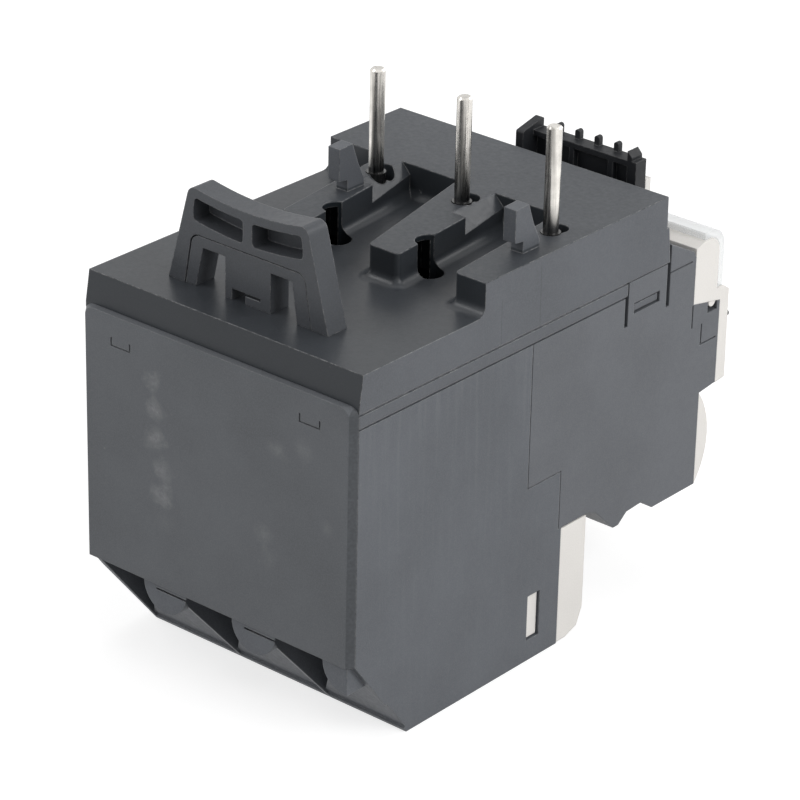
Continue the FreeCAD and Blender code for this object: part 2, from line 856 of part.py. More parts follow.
def module_cavity():
    outline = [
        (cavity_rear, cavity_floor), (inner_front, cavity_floor), (inner_front, module_inner_top),
        (cavity_roof_front, module_inner_top), (cavity_roof_front, roof_front_height - 2.0),
        (cap_front_foot - 1.5, roof_rear_height - 2.9),
        (cap_front_foot - 1.5, roof_rear_height + seat), (cavity_rear, roof_rear_height + seat),
    ]
    return side_prism(outline, -inner_half, inner_half)


def aux_cell(x):
    rear = aux_bar_depth - slack
    room_top = fascia_bottom - 1.8
    half = aux_pitch / 2 - 1.0
    room = block(x - half, x + half, rear, aux_front + 1, aux_bottom + wall, room_top)
    back = rod_deep(x, aux_screw_height, aux_shank + 0.4, rear - 3.6, rear + 1)
    entry = block(x - 2.4, x + 2.4, aux_bar_depth + aux_bar_thickness + 0.1, aux_front - 4.9,
                  aux_bottom - 1, aux_bottom + wall + 1)
    slot = block(x - 1.9, x + 1.9, aux_bar_depth - seat, aux_bar_depth + aux_bar_thickness + seat,
                 room_top - 0.5, cavity_floor + 2)
    return fused([room, back, entry, slot])


def rod_guide(x):
    low = button_height - rod_radius - 0.6
    return block(x - 3.4, x + 3.4, guide_rear, cavity_roof_front, low, button_height + 5.0)


def side_lines(side):
    """Fine parting lines of the module's side walls."""
    front = aux_front - 0.5
    floor = ledge_height - 5.3
    middle = floor + 3.1
    roof_line = roof_front_height - 1.45
    inner = half_width - line_depth
    return [
        side_block(side, half_width - line_width, half_width + 1, cap_front_foot + slack,
                   roof_front - slack, roof_line, roof_line + line_width),
        side_block(side, inner, half_width + 1, block_rear - line_width, block_rear, middle,
                   saddle_height - 0.1),
        side_block(side, inner, half_width + 1, front, front + line_width, floor, middle),
        side_block(side, inner, half_width + 1, front, module_front - 0.5, floor,
                   floor + line_width),
    ]


def mechanism_housing():
    body = side_prism(module_outline(), -half_width, half_width)
    body = rounded(body, roof_round, lambda e: e.BoundBox.XLength > half_width
                   and lies_at_height(e, roof_front_height))
    body = body.cut(module_cavity())
    guides = [rod_guide(x) for x in (button_x, -button_x)]
    rails = []
    for side in (-1, 1):
        rails.append(side_block(side, carriage_half + slack, carriage_half + slack + 0.9,
                                carriage_rear, carriage_front, cavity_floor - 1, cavity_floor + 1.1))
    pin = rod_up(lever_x, lever_depth, lever_pin, cavity_floor - 1, lever_floor + lever_height + 0.6)
    body = fused([body] + guides + rails + [pin])
    tools = [aux_cell(x) for x in aux_xs]
    for x in (button_x, -button_x):
        tools.append(rod_deep(x, button_height, rod_radius + seat, guide_rear - 1,
                              cavity_roof_front + 1))
        tools.append(rod_deep(x, button_height, collar_radius + 0.1, guide_rear + 1.5,
                              inner_front + 0.1))
        tools.append(rod_deep(x, button_height, button_radius + 0.15, inner_front - 1,
                              module_front + 1))
    tools.append(rod_deep(dial_x, dial_height, shaft_radius + running, cavity_roof_front - 1,
                          block_rear + 1))
    tools.append(block(-6.0, 0.6, seam_depth - 1, cavity_rear + 1, slider_floor - 0.4,
                       cap_bottom + 1))
    tools += front_windows(inner_front - 1, module_front + 1)
    d0, d1, z0, z1 = eye
    for side in (-1, 1):
        tools.append(side_block(side, inner_half - 1, half_width + 1, d0, d1, z0, z1))
        for depth in (flange_front, cap_front_foot):
            tools.append(side_block(side, inner_half - 1, half_width + 1, depth - snap_slot / 2 - 0.1,
                                    depth + snap_slot / 2 - 0.1, snap_floor,
                                    roof_rear_height + 1.1))
        tools.append(side_block(side, half_width - 2.1, half_width + 1, nub_depth - 1.05,
                                nub_depth + 1.05, ledge_height - 1.1, saddle_height + 1))
        tools += side_lines(side)
    return cut_all(body, tools)


test_floor = fascia_top - 8.6


def front_windows(d0, d1):
    window_x = lever_x - flag_shift
    flag = block(window_x - flag_half, window_x + flag_half, d0, d1, cavity_floor + 1.9,
                 cavity_floor + 4.5)
    test = block(test_x - test_half - 0.2, test_x + test_half + 0.2, d0, d1, test_floor - 0.2,
                 test_floor + 4.6)
    return [flag, test]


def arc_profile(centre, radius, start, end, steps):
    points = []
    for k in range(steps + 1):
        angle = math.radians(start + (end - start) * k / steps)
        points.append((centre[0] + radius * math.cos(angle), centre[1] + radius * math.sin(angle)))
    return points


def rounded_profile(front, top, radius, steps=6):
    return arc_profile((front - radius, top - radius), radius, 90, 0, steps)


def front_frame():
    outline = [(block_rear, saddle_height), (block_rear, block_top - 0.45), (cover_rear, block_top)]
    outline += rounded_profile(block_front, block_top, block_round)
    outline += [(block_front, fascia_top), (fascia_shoulder, fascia_top),
                (fascia_front - 0.15, fascia_top - fascia_slope),
                (fascia_front, fascia_bottom + 0.1), (module_front, fascia_bottom - 0.1),
                (module_front, ledge_height)]
    frame = side_prism(outline, -half_width, half_width)
    plate = block(comb_right + 0.1, comb_left - 0.1, block_rear + 0.1, block_rear + 1.2,
                  block_top - 1.5, plate_top)
    nubs = both_sides(lambda s: rod_across(nub_depth, ledge_height + 0.3, 0.75, *sorted(
        (s * (half_width - 1.9), s * (half_width - 0.1)))))
    ear = block(hinge_x - 0.8, half_width - 0.1, block_front - 1, hinge_depth + 0.6, ear_floor,
                ear_top)
    peg = rod_deep(peg_x, peg_height, peg_radius, fascia_front - 0.3, peg_front)
    frame = fused([frame, plate, ear, peg] + nubs)
    tools = [rod_deep(dial_x, dial_height, dial_radius + 0.15, block_front - dial_depth - 0.2,
                      block_front + 3),
             rod_deep(dial_x, dial_height, shaft_radius + running, block_rear - 1, block_front)]
    for x in (button_x, -button_x):
        tools.append(rod_deep(x, button_height, button_radius + 0.15, module_front - 1,
                              fascia_front + 1))
    tools += front_windows(module_front - 1, fascia_front + 1)
    tools.append(rod_up(hinge_x, hinge_depth, hinge_pin + running, fascia_top - 1.3, fascia_top + 0.1))
    tools.append(rod_up(hinge_x, hinge_depth, hinge_pin + running, ear_floor - running,
                        ear_top + 0.15))
    return cut_all(frame, tools)


def setting_cover():
    inner_front = block_front + cover_gap + 0.05
    inner_top = block_top + cover_gap
    outer_front = inner_front + cover_thickness
    outer_top = inner_top + cover_thickness
    outer = [(cover_rear, cover_bottom), (cover_rear, outer_top)]
    outer += rounded_profile(outer_front, outer_top, block_round + cover_thickness)
    outer += [(outer_front, cover_bottom)]
    inner = [(cover_rear - 1, cover_bottom - 1), (cover_rear - 1, inner_top)]
    inner += rounded_profile(inner_front, inner_top, block_round)
    inner += [(inner_front, cover_bottom - 1)]
    curved_end = hinge_x - 1.1
    shell = side_prism(outer, -half_width + 0.1, hinge_x)
    shell = shell.cut(side_prism(inner, -half_width, hinge_x + 1))
    barrel_top = ear_floor - 0.35
    shell = shell.cut(block(curved_end, hinge_x + 1, cover_rear - 1, outer_front + 1, barrel_top,
                            outer_top + 1))
    barrel = rod_up(hinge_x, hinge_depth, hinge_radius, cover_bottom, barrel_top)
    pins = rod_up(hinge_x, hinge_depth, hinge_pin, fascia_top - 0.9, ear_top - 0.15)
    return fused([shell, barrel, pins])


def aux_faceplate():
    top = fascia_bottom - 0.45
    bulge = 2.4
    middle = (top + aux_bottom) / 2
    rise = (top - aux_bottom) / 2
    radius = (rise ** 2 + bulge ** 2) / (2 * bulge)
    span = math.degrees(math.asin(rise / radius))
    centre = (aux_front + bulge - radius, middle)
    outline = [(aux_front, top)] + arc_profile(centre, radius, span, -span, 10)[1:-1]
    outline += [(aux_front, aux_bottom)]
    plate = side_prism(outline, -half_width, half_width)
    tools = []
    for x in aux_xs:
        tools.append(rod_deep(x, aux_screw_height, aux_head + 0.3, aux_front - 1, aux_front + 4))
    return cut_all(plate, tools)


comb_front = block_rear - seat
comb_rear = comb_front - comb_depth
end_rear = comb_rear - 2.2
comb_top = roof_front_height + comb_rise
tooth_top = comb_top + tooth_rise
first_tooth = comb_left - 4.2


def comb_strip(d0, d1, x0, x1, rear_top, front_top):
    """A wall of the comb that stands on the sloping roof behind the light grey block."""
    outline = [(d0, rear_top), (d0, roof_z(d0)), (min(d1, roof_front), roof_z(min(d1, roof_front)))]
    if d1 > roof_front:
        outline.append((d1, roof_front_height))
    outline.append((d1, front_top))
    return side_prism(outline, x0, x1)


def comb_tooth(x):
    rear = comb_front - tooth_depth
    tooth = block(x - tooth_width / 2, x + tooth_width / 2, rear, comb_front, comb_top - 1, tooth_top)
    return rounded(tooth, tooth_width * 0.45, lambda e: e.BoundBox.YLength > tooth_depth / 2
                   and lies_at_height(e, tooth_top))


def terminal_comb():
    inner_left = comb_left - comb_wall
    inner_right = comb_right + comb_wall + 0.25
    body = comb_strip(comb_rear, comb_front, comb_right, comb_left, comb_top, comb_top)
    left = comb_strip(end_rear, comb_front, inner_left, comb_left, tooth_top - end_slope, tooth_top)
    left = rounded(left, 0.3, lambda e: e.BoundBox.XLength > comb_wall / 2
                   and e.BoundBox.ZMin > tooth_top - end_slope - 0.1)
    right = prism([Vec(comb_right + 0.7, at(comb_front), comb_top - 1),
                   Vec(comb_right + 0.7, at(comb_front), comb_top + 0.5),
                   Vec(comb_right + 1.45, at(comb_front), tooth_top),
                   Vec(comb_right + 1.45, at(comb_front), comb_top - 1)],
                  Vec(0, comb_front - comb_rear, 0))
    teeth = [comb_tooth(first_tooth - k * tooth_pitch) for k in range(tooth_count)]
    recess = block(inner_right, inner_left, comb_rear - 0.1, comb_rear + comb_recess,
                   roof_rear_height + 0.6,
                   comb_top - 0.8)
    ribs = []
    for k in (1, 2):
        x = inner_left - k * 2 * tooth_pitch
        ribs.append(block(x - 0.4, x + 0.4, comb_rear, comb_rear + comb_recess + seat,
                          roof_rear_height + seat, comb_top - 0.5))
    return fused([body.cut(recess), left, right] + teeth + ribs)


# Buttons, dial and test slide


def coil_spring(x, z, d0, d1):
    pitch = (d1 - d0 - 2 * spring_wire) / spring_turns
    helix = Part.makeHelix(pitch, pitch * spring_turns, spring_radius)
    section = Part.makePolygon([
        Vec(spring_radius + spring_wire * math.cos(math.radians(90 * k)), 0,
            spring_wire * math.sin(math.radians(90 * k))) for k in range(5)])
    coil = Part.Wire(helix.Edges).makePipeShell([section], True, True)
    coil.rotate(Vec(0, 0, 0), Vec(1, 0, 0), 90)
    coil.translate(Vec(x, at(d0 + spring_wire), z))
    return coil


def reset_plunger():
    rod = rod_deep(button_x, button_height, rod_radius, rod_rear, plunger_front)
    collar = rod_deep(button_x, button_height, collar_radius, collar_rear,
                      collar_rear + collar_thickness)
    return fused([rod, collar])


def reset_button():
    knob = rod_deep(button_x, button_height, button_radius, inner_front + 0.2, button_front)
    knob = bevelled_face(knob, 0.3, button_front)
    bore = rod_deep(button_x, button_height, rod_radius + running, inner_front,
                    plunger_front + seat)
    slot = block(button_x - 2.0, button_x + 2.0, button_front - 0.8, button_front + 1,
                 button_height - 0.4, button_height + 0.4)
    return cut_all(knob, [bore, slot])


def reset_spring():
    return coil_spring(button_x, button_height, spring_rear, collar_rear)


def stop_button():
    knob = rod_deep(-button_x, button_height, button_radius, inner_front + 0.2, button_front)
    knob = bevelled_face(knob, 0.3, button_front)
    rod = rod_deep(-button_x, button_height, rod_radius, rod_rear, inner_front + 1)
    collar = rod_deep(-button_x, button_height, collar_radius, collar_rear,
                      collar_rear + collar_thickness)
    return fused([knob, rod, collar])


def stop_spring():
    return coil_spring(-button_x, button_height, spring_rear, collar_rear)


def setting_dial():
    front = block_front - 0.1
    dial = rod_deep(dial_x, dial_height, dial_radius, front - dial_depth, front)
    dial = bevelled_face(dial, 0.25, front)
    slot = block(dial_x - 0.45, dial_x + 0.45, front - 1.0, front + 1,
                 dial_height - dial_radius - 1, dial_height + 1.6)
    return dial.cut(slot)


def dial_shaft():
    rear = cavity_roof_front - 6.6
    front = block_front - 0.1 - dial_depth
    shaft = rod_deep(dial_x, dial_height, shaft_radius, rear, front)
    cam = rod_deep(dial_x + 0.6, dial_height, 2.2, rear + 1.2, rear + 3.8)
    return fused([shaft, cam])


def test_slider():
    lug = block(test_x - test_half, test_x + test_half, inner_front - 0.7, fascia_front + 0.4,
                test_floor, test_floor + 2.2)
    flange = block(test_x - 2.4, test_x + 2.4, inner_front - 1.3, inner_front - slack,
                   test_floor - 1.6, test_floor + 3.2)
    return fused([lug, flange])


# Trip mechanism


def slider_bar_at(d0, d1):
    return block(cell_xs[2] - 3.4, cell_xs[0] + 3.4, d0, d1, slider_floor,
                 slider_floor + slider_height)


def trip_slider():
    rear = strip_front + slider_bar
    front = rear + slider_bar
    pieces = [slider_bar_at(rear, front)]
    for x in cell_xs:
        face = x + strip_thickness / 2 + slack
        pieces.append(block(face, face + 1.5, strip_front - 3, rear + 0.1, slider_floor,
                            slider_floor + slider_height))
    push_x = lever_x - 1.2 - slack
    reach = lever_depth - 9.0
    pieces.append(block(push_x - 1.8, push_x, front - 0.1, reach, slider_floor,
                        slider_floor + slider_height))
    pieces.append(block(push_x - 1.8, push_x, reach - 2, reach, lever_floor - 0.3,
                        slider_floor + slider_height))
    return fused(pieces)


def differential_slider():
    front = strip_rear - slider_bar
    rear = front - slider_bar
    pieces = [slider_bar_at(rear, front)]
    for x in cell_xs:
        face = x - strip_thickness / 2 - slack
        pieces.append(block(face - 1.5, face, front - 0.1, strip_rear + 3, slider_floor,
                            slider_floor + slider_height))
    return fused(pieces)


def trip_lever():
    top = lever_floor + lever_height
    hub = rod_up(lever_x, lever_depth, 2.2, cavity_floor + seat, top)
    rear_arm = block(lever_x - 1.2, lever_x + 1.2, lever_depth - 11, lever_depth, lever_floor, top)
    front_arm = block(lever_x - 1.0, lever_x + 1.0, lever_depth, flag_rear, lever_floor, top)
    bore = rod_up(lever_x, lever_depth, lever_pin + running, cavity_floor, top + 1)
    return fused([hub, rear_arm, front_arm]).cut(bore)


def trip_flag():
    return block(lever_x - flag_half, lever_x + flag_half, flag_rear, flag_front,
                 cavity_floor + 1.5,
                 lever_floor + lever_height)


bridge_floor = cavity_floor + 1.7
nc_bridge_rear = aux_bar_depth + 1.9
no_bridge_rear = aux_bar_depth - 3.0


def contact_carriage():
    floor = cavity_floor + seat
    body = block(-carriage_half, carriage_half, carriage_rear, carriage_front, floor,
                 lever_floor - 0.5)
    window = block(-1.6, 1.6, aux_bar_depth - 1.4, aux_bar_depth + 1.0, floor - 1, lever_floor)
    tools = [window, bridge_bar(nc_bridge_rear, 1), bridge_bar(no_bridge_rear, -1)]
    return cut_all(body, tools)


def bridge_bar(depth, side):
    return side_block(side, 0.8, aux_xs[0] + 1.6, depth, depth + bridge_thickness,
                      bridge_floor, bridge_floor + bridge_height)


def contact(x, d0, d1):
    return rod_deep(x, bridge_floor + bridge_height / 2, contact_radius, d0, d1)


def nc_bridge():
    rear = nc_bridge_rear
    contacts = [contact(x, rear - contact_height, rear + 0.1) for x in aux_xs[:2]]
    return fused([bridge_bar(rear, 1)] + contacts)


def no_bridge():
    front = no_bridge_rear + bridge_thickness
    contacts = [contact(x, front - 0.1, front + contact_height + 0.1) for x in aux_xs[2:]]
    return fused([bridge_bar(no_bridge_rear, -1)] + contacts)


def aux_bar(x):
    rear = aux_bar_depth
    front = rear + aux_bar_thickness
    plate_top_edge = fascia_bottom - 2.0
    plate = block(x - 3.2, x + 3.2, rear, front, aux_bottom + wall + 0.4, plate_top_edge)
    stem = block(x - 1.8, x + 1.8, rear, front, plate_top_edge - slack,
                 bridge_floor + bridge_height + 0.8)
    hole = rod_deep(x, aux_screw_height, aux_shank + seat, rear - 1, front + 1)
    if x > 0:
        button = contact(x, front - 0.1, front + contact_height)
    else:
        button = contact(x, rear - contact_height, rear + 0.1)
    return fused([plate, stem, button]).cut(hole)


washer_rear = aux_bar_depth + 3.2


def aux_washer(x):
    plate = block(x - washer_half, x + washer_half, washer_rear, washer_rear + 1.0,
                  aux_screw_height - washer_half, aux_screw_height + washer_half)
    hole = rod_deep(x, aux_screw_height, aux_shank + running, washer_rear - 1, washer_rear + 2)
    return plate.cut(hole)


def aux_screw(x):
    head_rear = washer_rear + 1.0 + seat
    shank = rod_deep(x, aux_screw_height, aux_shank, aux_bar_depth - 1.6, head_rear + 0.5)
    head = rod_deep(x, aux_screw_height, aux_head, head_rear, head_rear + 2.4)
    return cut_all(fused([shank, head]),
                   cross_slot(x, aux_screw_height, aux_head, head_rear + 2.4))


def build():
    parts = {
        "rear_housing": rear_housing(),
        "rear_cover": rear_cover(),
        "phase_barrier_1": phase_barrier(barrier_xs[0]),
        "phase_barrier_2": phase_barrier(barrier_xs[1]),
        "top_cap": top_cap(),
        "mechanism_housing": mechanism_housing(),
        "contactor_hook": contactor_hook(),
        "hook_latch": hook_latch(),
        "terminal_comb": terminal_comb(),
        "front_frame": front_frame(),
        "setting_cover": setting_cover(),
        "aux_faceplate": aux_faceplate(),
        "power_shroud": power_shroud(),
        "setting_dial": setting_dial(),
        "dial_shaft": dial_shaft(),
        "reset_plunger": reset_plunger(),
        "reset_button": reset_button(),
        "reset_spring": reset_spring(),
        "stop_button": stop_button(),
        "stop_spring": stop_spring(),
        "test_slider": test_slider(),
        "trip_slider": trip_slider(),
        "differential_slider": differential_slider(),
        "trip_lever": trip_lever(),
        "trip_flag": trip_flag(),
        "contact_carriage": contact_carriage(),
        "nc_bridge": nc_bridge(),
        "no_bridge": no_bridge(),
    }
    for number, (pin_x, cell_x) in enumerate(zip(pin_xs, cell_xs), 1):
        parts[f"phase_pin_{number}"] = phase_pin(pin_x, cell_x)
        parts[f"bimetal_{number}"] = bimetal(cell_x)
        parts[f"heater_{number}"] = heater(cell_x)
        parts[f"load_bar_{number}"] = load_bar(cell_x)
        parts[f"clamp_cage_{number}"] = clamp_cage(cell_x)
        parts[f"power_screw_{number}"] = power_screw(cell_x)
    for number, x in enumerate(aux_xs, 1):
        parts[f"aux_bar_{number}"] = aux_bar(x)
        parts[f"aux_washer_{number}"] = aux_washer(x)
        parts[f"aux_screw_{number}"] = aux_screw(x)
    return parts


def main():
    os.makedirs("parts", exist_ok=True)
    for name, shape in build().items():
        shape.exportStep(f"parts/{name}.step")
        print(name, len(shape.Solids), round(shape.Volume, 1), shape.isValid())


main()
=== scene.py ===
import json
import math

import bpy
from mathutils import Matrix, Vector


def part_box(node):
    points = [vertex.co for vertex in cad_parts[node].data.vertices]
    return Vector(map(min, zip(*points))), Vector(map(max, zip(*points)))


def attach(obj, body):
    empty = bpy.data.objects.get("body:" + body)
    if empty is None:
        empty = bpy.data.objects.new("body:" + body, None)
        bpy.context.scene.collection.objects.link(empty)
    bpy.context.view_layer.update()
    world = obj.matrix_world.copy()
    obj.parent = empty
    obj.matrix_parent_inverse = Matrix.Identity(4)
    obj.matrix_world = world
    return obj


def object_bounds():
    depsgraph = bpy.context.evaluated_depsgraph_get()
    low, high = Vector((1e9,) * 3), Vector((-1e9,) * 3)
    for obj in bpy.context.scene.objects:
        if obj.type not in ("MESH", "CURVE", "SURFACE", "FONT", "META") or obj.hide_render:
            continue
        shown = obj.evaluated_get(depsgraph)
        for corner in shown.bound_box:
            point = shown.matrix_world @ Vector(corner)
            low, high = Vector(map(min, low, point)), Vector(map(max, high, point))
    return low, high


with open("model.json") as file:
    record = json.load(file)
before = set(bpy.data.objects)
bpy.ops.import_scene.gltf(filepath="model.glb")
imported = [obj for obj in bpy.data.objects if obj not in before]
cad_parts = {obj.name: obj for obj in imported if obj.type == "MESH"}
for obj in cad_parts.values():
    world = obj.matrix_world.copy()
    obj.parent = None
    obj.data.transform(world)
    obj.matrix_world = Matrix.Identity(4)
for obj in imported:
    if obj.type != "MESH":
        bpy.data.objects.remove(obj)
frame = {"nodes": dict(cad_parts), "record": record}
cad_low, cad_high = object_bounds()
nodes = frame["nodes"]

MM = 0.001
rear_plane = cad_high[1] / MM  # the rear panel's Y, in millimetres


def at(x, depth, z):
    """A point given as X, depth in front of the rear panel and height, in millimetres."""
    return Vector((x, rear_plane - depth, z)) * MM


# Places that the materials tell apart, in millimetres

half_width = cad_high[0] / MM
zone_softness = 0.05
outer_side_start = half_width - 0.4
outer_side_full = half_width - 0.2
flange_top = 47.4
low_deck_top = 56.65
raised_deck_heights = (56.7, 57.2)
raised_deck_fade = (-20.0, 12.0)  # Y near its front and at its rear
panel_end_span = (-24.0, -21.7)
peg_heights = (33.0, 37.6)
peg_depths = (75.5, 80.0)
drag_line_heights = (15.0, 45.0)
bore_depth = 29.4
bore_xs = (6.14, -9.08)
bore_radius = 2.0
bore_heights = (40.0, 56.6)
mould_lines = ((27.3, 53.6), (34.9, 56.1))  # depth and top of each
mould_line_reach = 0.09
mould_line_core = 0.03
fin_tops = (11.0, -4.05)
fin_lean = 5.6
fin_width = 0.5
fin_reach = fin_width / 2 + 0.02
fin_core = fin_width / 2 - 0.05
fin_depths = (1.0, 11.0)
rear_slope_height = 13.3
pin_root = 57.5
pin_root_fade = 3.5

# Pale rubbed patches on the rear panel: X, Z, radius and strength

scuffs = [(9.9, 41.5, 1.9, 0.45), (9.9, 37.7, 1.9, 0.5), (9.9, 33.9, 2.0, 0.45),
          (8.8, 29.8, 2.2, 0.42), (8.9, 26.1, 2.3, 0.5), (8.3, 22.6, 2.0, 0.08),
          (-10.3, 39.2, 1.9, 0.22), (-14.8, 40.4, 1.8, 0.14), (-8.7, 27.0, 2.0, 0.24),
          (-9.0, 24.5, 1.8, 0.1), (-18.6, 31.5, 1.2, 0.14)]

# Noise scales of the plastics, the clear cover and the metals

grain_scale = 5200.0
speckle_scale = 2600.0
wear_scale = 1500.0
drag_scale = 1300.0
fleck_scale = 420.0
patch_scale = 260.0
fleck_group_scale = 170.0
cloud_scale = 60.0
haze_scale = 380.0
drawn_line_scale = 2400.0
streak_scale = 900.0
stain_scale = 420.0


# Colours


def grey(value, warmth=0.0):
    return (value * (1 + warmth), value, value * (1 - warmth), 1.0)


def scaled(colour, factor):
    return tuple(part * factor for part in colour[:3]) + (1.0,)


# Dark for painted shade in recesses and shadowed places, and for the mould's dark witness lines
painted_shade_and_mark_dark = grey(0.012, -0.25)
pale_grey = grey(0.4, -0.03)
# Pale for rubbed edges and for painted edge highlights
edge_wear_and_highlight_grey = grey(0.4)
scuff_grey = grey(0.42)
dust_grey = grey(0.5)
# Dark for the painted reflection of the deck at the pins' root
root_reflection_grey = grey(0.09)


# Shader nodes


class Graph:
    """The nodes of a material or of the world, with short calls to add them."""

    def __init__(self, owner):
        owner.use_nodes = True
        self.tree = owner.node_tree
        self.coordinates = self.add("ShaderNodeTexCoord").outputs["Object"]

    def feed(self, socket, value):
        """Links the socket to another one, or sets its value."""
        if isinstance(value, bpy.types.NodeSocket):
            self.tree.links.new(value, socket)
        else:
            socket.default_value = value

    def add(self, kind, inputs=None, **settings):
        node = self.tree.nodes.new(kind)
        for key, value in settings.items():
            setattr(node, key, value)
        for key, value in (inputs or {}).items():
            self.feed(node.inputs[key], value)
        return node

    def noise(self, scale, detail=3.0, roughness=0.6, stretch=None):
        vector = self.coordinates
        if stretch:
            vector = self.add("ShaderNodeMapping", {"Vector": vector, "Scale": stretch}).outputs[0]
        return self.add("ShaderNodeTexNoise", {"Vector": vector, "Scale": scale, "Detail": detail,
                                               "Roughness": roughness}).outputs["Fac"]

    def ramp(self, value, low, high, out_low=0.0, out_high=1.0):
        node = self.add("ShaderNodeMapRange", {"Value": value, "From Min": low, "From Max": high,
                                               "To Min": out_low, "To Max": out_high})
        return node.outputs["Result"]

    def math(self, operation, a, b=0.0):
        return self.add("ShaderNodeMath", {0: a, 1: b}, operation=operation).outputs[0]

    def times(self, a, b):
        return self.math("MULTIPLY", a, b)

    def absolute(self, value):
        return self.math("ABSOLUTE", value)

    def apart(self, a, b):
        """How far two values lie from each other."""
        return self.absolute(self.math("SUBTRACT", a, b))

    def vector_math(self, operation, a, b):
        return self.add("ShaderNodeVectorMath", {0: a, 1: b}, operation=operation).outputs

    def parts(self, vector):
        """The X, Y and Z of a vector."""
        return self.add("ShaderNodeSeparateXYZ", {0: vector}).outputs

    def place(self, axis):
        return self.parts(self.coordinates)[axis]

    def normal(self):
        return self.add("ShaderNodeNewGeometry").outputs["Normal"]

    def facing_away(self, blend):
        """0 where a surface faces the viewer and 1 where it is seen edge on."""
        return self.add("ShaderNodeLayerWeight", {"Blend": blend}).outputs["Facing"]

    def blend(self, share, a, b):
        node = self.add("ShaderNodeMix", data_type="RGBA")
        for name, kind, value in (("Factor", "VALUE", share), ("A", "RGBA", a), ("B", "RGBA", b)):
            self.feed(next(s for s in node.inputs if s.name == name and s.type == kind), value)
        return next(s for s in node.outputs if s.type == "RGBA")


class Surface(Graph):
    """A material around one principled shader."""

    def __init__(self, name):
        self.material = bpy.data.materials.new(name)
        super().__init__(self.material)
        self.shader = self.tree.nodes["Principled BSDF"]

    def put(self, name, value):
        self.feed(self.shader.inputs[name], value)

    def bump(self, height, strength, distance, normal=None):
        node = self.add("ShaderNodeBump", {"Height": height, "Strength": strength,
                                           "Distance": distance})
        if normal:
            self.feed(node.inputs["Normal"], normal)
        self.put("Normal", node.outputs[0])


def soft_edges(graph, radius):
    """The normal of the surface with its sharp edges rounded."""
    return graph.add("ShaderNodeBevel", {"Radius": radius}, samples=6).outputs[0]


def edge_mask(graph, rounded):
    """Near 1 along sharp edges, from how far the rounded normal turns from the true one."""
    flat_cosine = 0.995
    sharp_cosine = 0.87
    turn = graph.vector_math("DOT_PRODUCT", rounded, graph.normal())["Value"]
    return graph.ramp(turn, flat_cosine, sharp_cosine)


def within(graph, axis, low, high):
    """1 where the point's X, Y or Z lies between two values in millimetres, with soft ends."""
    place = graph.place(axis)
    above = graph.ramp(place, (low - zone_softness) * MM, (low + zone_softness) * MM)
    below = graph.ramp(place, (high + zone_softness) * MM, (high - zone_softness) * MM)
    return graph.times(above, below)


def within_depths(graph, near, far):
    """1 between two depths in front of the rear panel."""
    return within(graph, "Y", rear_plane - far, rear_plane - near)


# Zones of the plastics, each about 1 inside and 0 outside


def outer_side(graph):
    """The cap's two outer side faces."""
    sideways = graph.absolute(graph.parts(graph.normal())["X"])
    away = graph.absolute(graph.place("X"))
    return graph.times(graph.ramp(sideways, 0.6, 0.9),
                       graph.ramp(away, outer_side_start * MM, outer_side_full * MM))


def low_deck(graph):
    """The polished lower deck, its channels and the cap's sloping rear edge, not the cap's sides;
    painted shade darkens it.
    """
    inside = graph.math("SUBTRACT", 1.0, outer_side(graph))
    return graph.times(inside, within(graph, "Z", flange_top, low_deck_top))


def raised_deck(graph):
    """The raised deck for painted shade, lighter towards the front as a painted reflection there."""
    front, rear = raised_deck_fade
    front_share = 0.75
    return graph.times(within(graph, "Z", *raised_deck_heights),
                       graph.ramp(graph.place("Y"), front * MM, rear * MM, front_share))


def upright_walls(graph):
    """The upright walls of the channels and fingers, which get extra painted shade."""
    upward = graph.absolute(graph.parts(graph.normal())["Z"])
    return graph.times(low_deck(graph), graph.ramp(upward, 0.5, 0.2))


def bores(graph):
    """The walls of the two bores beside the channels, painted dark as the shade deep inside them."""
    total = 0.0
    level_place = graph.vector_math("MULTIPLY", graph.coordinates, (1, 1, 0))["Vector"]
    for x in bore_xs:
        gap = graph.vector_math("DISTANCE", level_place, at(x, bore_depth, 0))["Value"]
        inside = graph.ramp(gap, (bore_radius + zone_softness) * MM,
                            (bore_radius - zone_softness) * MM)
        total = graph.math("MAXIMUM", total, inside)
    return graph.times(total, within(graph, "Z", *bore_heights))


def witness_lines(graph):
    """Two faint upright lines left by the mould on the cap's side."""
    along = graph.place("Y")
    total = 0.0
    for depth, top in mould_lines:
        gap = graph.apart(along, (rear_plane - depth) * MM)
        line = graph.times(graph.ramp(gap, mould_line_reach * MM, mould_line_core * MM),
                           within(graph, "Z", flange_top, top))
        total = graph.math("MAXIMUM", total, line)
    return graph.times(total, outer_side(graph))


def peg(graph):
    """The dark end of the peg that stands out of the front frame."""
    return graph.times(within(graph, "Z", *peg_heights), within_depths(graph, *peg_depths))


def drag_lines(graph):
    """Fine upright drag lines on the plain side, strongest under the cap."""
    low, high = drag_line_heights
    low_share = 0.25
    lines = graph.noise(drag_scale, detail=2.0, roughness=0.5, stretch=(1.0, 1.0, 0.06))
    return graph.times(graph.ramp(lines, 0.5, 0.75),
                       graph.ramp(graph.place("Z"), low * MM, high * MM, low_share))


def fin_faces(graph):
    """The narrow outer faces of the two leaning fins under the rear panel, painted pale as an edge
    highlight.
    """
    lean = graph.times(graph.place("Z"), fin_lean / rear_slope_height)
    across = graph.math("SUBTRACT", graph.place("X"), lean)
    total = 0.0
    for top in fin_tops:
        gap = graph.apart(across, (top - fin_lean - fin_width / 2) * MM)
        total = graph.math("MAXIMUM", total, graph.ramp(gap, fin_reach * MM, fin_core * MM))
    return graph.times(total, within_depths(graph, *fin_depths))


def panel_end(graph):
    """The rear panel's sloping end beside the plain side, for painted shade with a fine speckle."""
    speckle = graph.noise(speckle_scale, detail=2.0)
    return graph.times(within(graph, "X", *panel_end_span),
                       graph.ramp(speckle, 0.3, 0.7, 0.6, 1.2))


